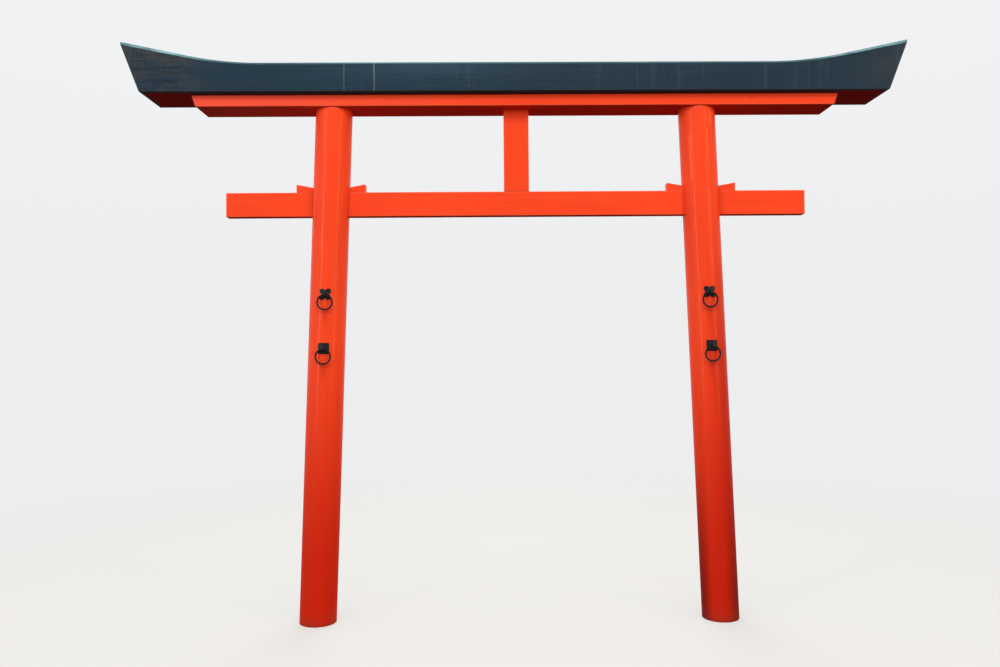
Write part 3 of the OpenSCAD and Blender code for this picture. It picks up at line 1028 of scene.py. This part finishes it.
def geometry_tree(name, values):
    """A new Geometry Nodes tree with a named input for each value and one for the material."""
    tree = bpy.data.node_groups.new(name, "GeometryNodeTree")
    kinds = {float: "NodeSocketFloat", int: "NodeSocketInt", tuple: "NodeSocketVector"}
    tree.interface.new_socket("Geometry", in_out="OUTPUT", socket_type="NodeSocketGeometry")
    tree.interface.new_socket("Geometry", in_out="INPUT", socket_type="NodeSocketGeometry")
    for label, value in values.items():
        tree.interface.new_socket(label, in_out="INPUT", socket_type=kinds[type(value)])
    tree.interface.new_socket("Material", in_out="INPUT", socket_type="NodeSocketMaterial")
    recipe = Recipe(tree)
    outputs = recipe.node("NodeGroupInput").socket.node.outputs
    return tree, recipe, {socket.name: Wire(recipe, socket) for socket in outputs if socket.name}


def close_tree(recipe, geometry, inputs):
    """Ends a tree in Realize Instances and Set Material."""
    real = recipe.node("GeometryNodeRealizeInstances", None, {0: geometry})
    finished = recipe.node("GeometryNodeSetMaterial", None, {"Geometry": real, "Material": inputs["Material"]})
    recipe.node("NodeGroupOutput", None, {0: finished})


def shaped_by(piece, tree, values, material):
    """Runs a Geometry Nodes tree on a piece and keeps the plain result."""
    modifier = piece.modifiers.new("Shape", "NODES")
    modifier.node_group = tree
    sockets = {item.name: item.identifier for item in tree.interface.items_tree if item.in_out == "INPUT"}
    for label, value in {**values, "Material": material}.items():
        modifier[sockets[label]] = value
    made_plain(piece)
    smoothed(piece.data)


def bar_loop_tree(values):
    """A round bar bent into a closed loop and hammered, then turned and put in its place."""
    tree, recipe, inputs = geometry_tree("Bend a bar to a ring", values)

    def circle(steps, radius):
        sockets = {"Resolution": inputs[steps], "Radius": inputs[radius]}
        return recipe.node("GeometryNodeCurvePrimitiveCircle", None, sockets)

    path, bar = circle("Steps Round", "Loop Radius"), circle("Bar Steps", "Bar Radius")
    tube = recipe.node("GeometryNodeCurveToMesh", None, {"Curve": path, "Profile Curve": bar})
    place = recipe.node("GeometryNodeInputPosition")
    blows = recipe.node("ShaderNodeTexNoise", None, {"Vector": place, "Scale": 46.0, "Detail": 1.0}, "Fac")
    facing = recipe.node("GeometryNodeInputNormal")
    dent = recipe.vector_maths("SCALE", {0: facing, "Scale": (blows - 1.0) * inputs["Hammering"]})
    beaten = recipe.node("GeometryNodeSetPosition", None, {"Geometry": tube, "Offset": dent})
    turned = recipe.node(
        "GeometryNodeTransform", None,
        {"Geometry": beaten, "Translation": inputs["Place"], "Rotation": inputs["Turn"]},
    )
    close_tree(recipe, turned, inputs)
    return tree


def bent_bar(name, place, turn, loop_radius, bar_radius, around, bar_steps, hammering):
    """A piece for a bar bent to a ring and turned about its middle."""
    values = {
        "Steps Round": around, "Bar Steps": bar_steps, "Loop Radius": loop_radius, "Bar Radius": bar_radius,
        "Hammering": hammering, "Place": tuple(place), "Turn": turn,
    }
    piece = new_piece(name, bpy.data.meshes.new(name))
    shaped_by(piece, bar_loop_tree(values), values, iron_finish())
    return piece


class TORII_OT_back_plates(bpy.types.Operator):
    """Cut the back plates, bend them to their pillars and raise their bosses"""

    bl_idname = "torii.back_plates"
    bl_label = "Back plates"

    def execute(self, context):
        for side, level in FITTINGS:
            name = f"{side}_{level}_plate"
            mesh = mesh_of(name, lambda shape: self.plate(shape, side, level))
            piece = new_piece("hammered_" + name, mesh, iron_finish())
            hand_over(piece, GATE, IRON_SLOT, name)
        return {"FINISHED"}

    def outline(self, level):
        """Points along a plate's outline, anticlockwise."""
        sizes = bpy.context.scene.torii_fittings
        half = sizes.plate_size / 2
        cut = half - sizes.corner
        notch = [(half, -sizes.notch), (half - sizes.notch, 0.0), (half, sizes.notch)]
        quarter = [(half, -cut), *(notch if level == "upper" else ()), (half, cut)]
        corners = []
        for cosine, sine in ((1, 0), (0, 1), (-1, 0), (0, -1)):
            corners += [Vector((a * cosine - b * sine, a * sine + b * cosine)) for a, b in quarter]
        points = []
        for here, after in zip(corners, corners[1:] + corners[:1]):
            steps = max(2, round((after - here).length / 0.003))
            points += [here.lerp(after, i / steps) for i in range(steps)]
        return points

    def plate(self, shape, side, level, dome_radius=0.0175, dent_depth=0.00035, edge_ease=0.0007, gap=0.0003):
        """Fills a shape with a plate that stands a gap off its pillar."""
        sizes = bpy.context.scene.torii_fittings
        timber = bpy.context.scene.torii_timber
        pin = PIN_OF[f"{side}_{level}_ring"]
        centre_z = pin.z + sizes.plate_lift
        pin_spot = Vector((0.0, -sizes.plate_lift))
        edge = self.outline(level)
        thickness = sizes.plate_thickness

        def lifted(spot, out):
            """A spot of the flat plate, bent round the leaning pillar; its front is domed and hammered."""
            z = centre_z + spot.y
            if out:
                dome = max(0.0, 1 - ((spot - pin_spot).length / dome_radius) ** 2) ** 0.6
                out += sizes.boss * dome - dent_depth * uneven(spot.x * 160, spot.y * 160, pin.z * 9)
            radius = timber.pillar_radius + gap + out
            return Vector((axis_x(side, z) + spot.x, -math.sqrt(radius ** 2 - spot.x ** 2), z))

        def rings(out, *shares):
            return [[lifted(spot * share, out) for spot in edge] for share in shares]

        front = rings(0.0, 1.0) + rings(thickness - edge_ease, 1.0)
        front += rings(thickness, 0.985, 0.96, 0.9, 0.8, 0.7, 0.6, 0.5, 0.4, 0.3, 0.2, 0.1)
        for loops, out in ((front, thickness), (rings(0.0, 1.0, 0.8, 0.5, 0.25), 0.0)):
            inmost = skin(shape, loops)[-1]
            hub = shape.verts.new(lifted(Vector((0.0, 0.0)), out))
            for first, second in zip(inmost, inmost[1:] + inmost[:1]):
                shape.faces.new((first, second, hub))


class TORII_OT_eyes(bpy.types.Operator):
    """Bend the eyes that hold the rings"""

    bl_idname = "torii.eyes"
    bl_label = "Eyes"

    # The shank that runs back into the pillar: (distance behind the eye, radius)
    SHANK = (
        (0.0, 0.0030), (0.0012, 0.0039), (0.004, 0.0040), (0.02, 0.0040), (0.045, 0.0040), (0.055, 0.0038),
        (0.0605, 0.0012),
    )

    def execute(self, context):
        sizes = context.scene.torii_fittings
        for side, level in FITTINGS:
            name = f"{side}_{level}_eye"
            pin = PIN_OF[f"{side}_{level}_ring"]
            piece = bent_bar(
                "forged_" + name, pin, (0.0, math.pi / 2, 0.0), sizes.eye_radius, sizes.eye_bar,
                around=72, bar_steps=24, hammering=0.00015,
            )
            self.add_shank(piece.data, pin + Vector((0.0, sizes.eye_radius, 0.0)))
            hand_over(piece, GATE, IRON_SLOT, name)
        return {"FINISHED"}

    def add_shank(self, mesh, start, around=32):
        shape = bmesh.new()
        shape.from_mesh(mesh)
        turns = [math.tau * i / around for i in range(around)]
        loft(shape, [
            [start + Vector((radius * math.cos(turn), back, radius * math.sin(turn))) for turn in turns]
            for back, radius in self.SHANK
        ])
        bmesh.ops.recalc_face_normals(shape, faces=shape.faces)
        for face in shape.faces:
            face.smooth = True
        shape.to_mesh(mesh)
        shape.free()


class TORII_OT_rings(bpy.types.Operator):
    """Bend the rings and hang them in their eyes"""

    bl_idname = "torii.rings"
    bl_label = "Rings"

    def execute(self, context):
        sizes = context.scene.torii_fittings
        for side, level in FITTINGS:
            name = f"{side}_{level}_ring"
            place = PIN_OF[name] - Vector((0.0, 0.0, sizes.ring_radius))
            piece = bent_bar(
                "forged_" + name, place, (math.pi / 2, 0.0, 0.0), sizes.ring_radius, sizes.ring_bar,
                around=144, bar_steps=28, hammering=0.0003,
            )
            hand_over(piece, name, IRON_SLOT, name)
        return {"FINISHED"}


# The seen background: the sky's tint, its level at the horizon, and where the floor starts and ends its
# fade into it, as distances from the gate's middle
SKY_TINT = (0.985, 0.99, 1.0)
HORIZON_LEVEL = 0.858
FLOOR_FADE = (2.5, 6.0)
FLOOR_HALF_SIZE = 60.0
# Each lamp's place, the point it is aimed at, its width and height, its share of the key power and its tint
LAMPS = {
    "front_lamp": ((1.0, -5.4, 6.5), (1.0, 0.0, 1.5), (6.0, 1.8), 0.46, (1.0, 1.0, 1.0)),
    "left_lamp": ((-4.6, -5.6, 2.6), (1.0, 0.0, 1.5), (0.7, 4.5), 0.30, (1.0, 0.92, 0.84)),
    "right_lamp": ((6.8, -5.4, 2.6), (1.0, 0.0, 1.5), (1.4, 4.5), 0.34, (1.0, 0.66, 0.28)),
    "back_lamp": ((1.0, 4.2, 6.0), (1.0, 0.0, 2.0), (4.0, 4.0), 0.45, (1.0, 1.0, 1.0)),
}


def dimmed(colour, share):
    return tuple(part * share for part in colour)


class TORII_OT_stage(bpy.types.Operator):
    """Lay the pale floor and set the soft light and the camera"""

    bl_idname = "torii.stage"
    bl_label = "Floor, light and camera"

    def execute(self, context):
        self.lay_floor(context.scene.torii_finishes)
        self.light_world(context.scene, context.scene.torii_stage)
        self.hang_lamps(context.scene, context.scene.torii_stage.key_power)
        self.place_camera(context.scene, context.scene.torii_stage)
        context.scene.view_settings.view_transform = "Standard"
        return {"FINISHED"}

    def lay_floor(self, colours):
        """A floor that is pale where it is seen and throws little light on the gate."""
        mix = Finish("pale_floor", Roughness=0.9, Specular_IOR_Level=0.0, Emission_Strength=1.0)
        black = (0.0, 0.0, 0.0)
        seen = mix.plainly_seen()
        mottle = mix.noise(1.7, 3.0)
        x = mix.x - MID_X
        far = (x * x + mix.y * mix.y).sqrt().ramp(*FLOOR_FADE)
        near = mix.blend(mottle * 0.08, dimmed(colours.floor, 0.34), (0.24, 0.24, 0.235))
        glow = mix.blend(far, dimmed(colours.floor, 0.66), dimmed(SKY_TINT, HORIZON_LEVEL))
        mix.feed(
            Base_Color=mix.blend(seen, (colours.floor_bounce,) * 3, mix.blend(far, near, black)),
            Emission_Color=mix.blend(seen, black, glow),
        )
        corners = [Vector((x, y, 0.0)) * FLOOR_HALF_SIZE for x, y in ((-1, -1), (1, -1), (1, 1), (-1, 1))]
        below = Vector((0.0, 0.0, 0.0005))
        mesh = mesh_of("floor", lambda shape: shape.faces.new([shape.verts.new(at - below) for at in corners]))
        new_piece("floor", mesh, mix.material)

    def light_world(self, scene, stage):
        """A broad dim sky, with a soft glow from both sides of the front, that is seen plain and pale."""
        world = bpy.data.worlds.new("soft_sky")
        world.use_nodes = True
        world.node_tree.nodes.clear()
        recipe = Recipe(world.node_tree)
        seen = recipe.plainly_seen()
        across, depth, height = recipe.split(recipe.node("ShaderNodeTexCoord", output="Generated"))
        lobe = depth.ramp(0.7, 0.0) * height.ramp(0.90, 0.20) * abs(across).ramp(0.36, 0.75)
        lit = stage.sky_strength + lobe * stage.side_glow
        shown = height.ramp(-0.02, 0.5) * 0.05 + HORIZON_LEVEL
        sides = recipe.blend(across.ramp(-0.2, 0.2), stage.left_tint, stage.right_tint)
        shade = recipe.node("ShaderNodeBackground", None, {
            "Color": recipe.blend((1.0 - seen) * lobe, SKY_TINT, sides),
            "Strength": seen * shown + (1.0 - seen) * lit,
        })
        recipe.node("ShaderNodeOutputWorld", None, {"Surface": shade})
        scene.world = world

    def hang_lamps(self, scene, power):
        for name, (place, target, extent, share, colour) in LAMPS.items():
            light = bpy.data.lights.new(name, "AREA")
            light.shape = "RECTANGLE"
            light.size, light.size_y = extent
            light.energy = power * share
            light.color = colour
            lamp = bpy.data.objects.new(name, light)
            lamp.location = place
            lamp.rotation_euler = (Vector(target) - Vector(place)).to_track_quat("-Z", "Y").to_euler()
            scene.collection.objects.link(lamp)

    def place_camera(self, scene, stage):
        yaw, pitch, roll = stage.camera_turn
        place = Matrix.Translation(Vector(stage.camera_place))
        for angle, axis in ((-yaw, "Z"), (math.pi / 2 + pitch, "X"), (roll, "Z")):
            place @= Matrix.Rotation(angle, 4, axis)
        camera = bpy.data.objects.new("camera", bpy.data.cameras.new("camera"))
        camera.data.sensor_width = 36.0
        camera.data.sensor_fit = "HORIZONTAL"
        camera.data.lens = stage.focal_length
        camera.data.clip_end = 200.0
        camera.matrix_world = place
        scene.collection.objects.link(camera)
        scene.camera = camera


GROUPS = {
    "torii_timber": TimberSizes, "torii_fittings": FittingSizes, "torii_finishes": Finishes,
    "torii_stage": StageSizes,
}
OPERATORS = (
    TORII_OT_stage, TORII_OT_pillars, TORII_OT_tie_beam, TORII_OT_wedges, TORII_OT_strut, TORII_OT_lower_lintel,
    TORII_OT_upper_lintel, TORII_OT_back_plates, TORII_OT_eyes, TORII_OT_rings,
)


class TORII_PT_panel(bpy.types.Panel):
    """Lists the steps that make the gate, and the values they use"""

    bl_idname = "TORII_PT_panel"
    bl_label = "Torii gate"
    bl_space_type = "VIEW_3D"
    bl_region_type = "UI"
    bl_category = "Torii"

    def draw(self, context):
        for operator in OPERATORS:
            self.layout.operator(operator.bl_idname)
        for attribute, group in GROUPS.items():
            box = self.layout.box()
            for label in group.__annotations__:
                box.prop(getattr(context.scene, attribute), label)


def register():
    for group in GROUPS.values():
        bpy.utils.register_class(group)
    for operator in OPERATORS:
        bpy.utils.register_class(operator)
    bpy.utils.register_class(TORII_PT_panel)
    for attribute, group in GROUPS.items():
        setattr(bpy.types.Scene, attribute, PointerProperty(type=group))


def unregister():
    for attribute in GROUPS:
        delattr(bpy.types.Scene, attribute)
    bpy.utils.unregister_class(TORII_PT_panel)
    for operator in reversed(OPERATORS):
        bpy.utils.unregister_class(operator)
    for group in reversed(list(GROUPS.values())):
        bpy.utils.unregister_class(group)


def main():
    register()
    for operator in OPERATORS:
        space, name = operator.bl_idname.split(".")
        getattr(getattr(bpy.ops, space), name)()


if __name__ == "__main__":
    main()
